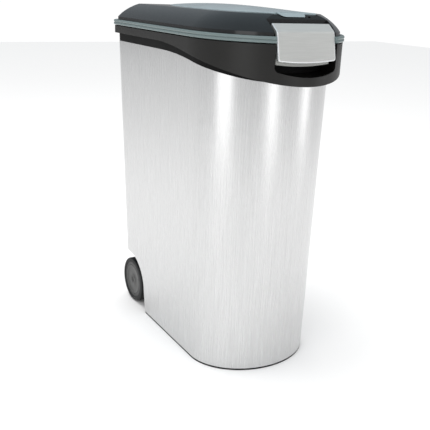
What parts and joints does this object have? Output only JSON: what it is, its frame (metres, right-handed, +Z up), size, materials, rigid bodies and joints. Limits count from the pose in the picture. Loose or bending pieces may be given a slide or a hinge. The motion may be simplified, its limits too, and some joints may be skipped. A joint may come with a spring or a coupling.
{
  "type": "wheeled pet food bin",
  "caption": "Tall narrow dry-food bin with a metal-look tub, two rear wheels, a rear-hinged domed lid and a lift-up front latch.",
  "frame": {"origin": "centre of the footprint's bounding box, on the floor", "axes": "+Z up, -Y out of the front (the rounded end with the latch), +X to the right as seen from the front. left and right in names are as seen from the front"},
  "size_m": [0.2776, 0.5012, 0.6381],
  "materials": {
    "tub": "satin moulded black polypropylene",
    "wrap": "brushed, vertical grain",
    "collar": "satin moulded black",
    "grey_trim": "satin grey",
    "steel": "drawn steel",
    "tyre": "soft black tread ring",
    "hub": "satin dark grey",
    "cap": "satin grey",
    "lid_shell": "gloss black",
    "inlay": "semi-gloss pale grey",
    "gasket": "soft seal",
    "latch_face": "brushed"
  },
  "bodies": {
    "bin": {"tub": "tub", "brushed_wrap": "wrap", "collar": "collar", "catch_strip": "grey_trim", "hinge_rod": "steel", "axle_left": "steel", "axle_right": "steel", "axle_clip_left": "steel", "axle_clip_right": "steel"},
    "lid": {"lid_shell": "lid_shell", "lid_band": "grey_trim", "lid_inlay": "inlay", "inlay_tab": "inlay", "lid_liner": "tub", "lid_gasket": "gasket", "latch_pin": "steel"},
    "latch": {"latch_face": "latch_face", "latch_lever": "grey_trim"},
    "wheel_left": {"tyre_left": "tyre", "hub_left": "hub", "cap_left": "cap"},
    "wheel_right": {"tyre_right": "tyre", "hub_right": "hub", "cap_right": "cap"}
  },
  "joints": [
    {"name": "lid_hinge", "type": "hinge", "parent": "bin", "child": "lid", "pos_m": [0, 0.2462, 0.585], "axis": [-1, 0, 0], "range_deg": [0, 105]},
    {"name": "latch_hinge", "type": "hinge", "parent": "lid", "child": "latch", "pos_m": [0, -0.2128, 0.609], "axis": [-1, 0, 0], "range_deg": [0, 80]},
    {"name": "wheel_left_spin", "type": "hinge", "parent": "bin", "child": "wheel_left", "pos_m": [-0.104, 0.1687, 0.049], "axis": [1, 0, 0], "continuous": true},
    {"name": "wheel_right_spin", "type": "hinge", "parent": "bin", "child": "wheel_right", "pos_m": [0.104, 0.1687, 0.049], "axis": [1, 0, 0], "continuous": true}
  ]
}
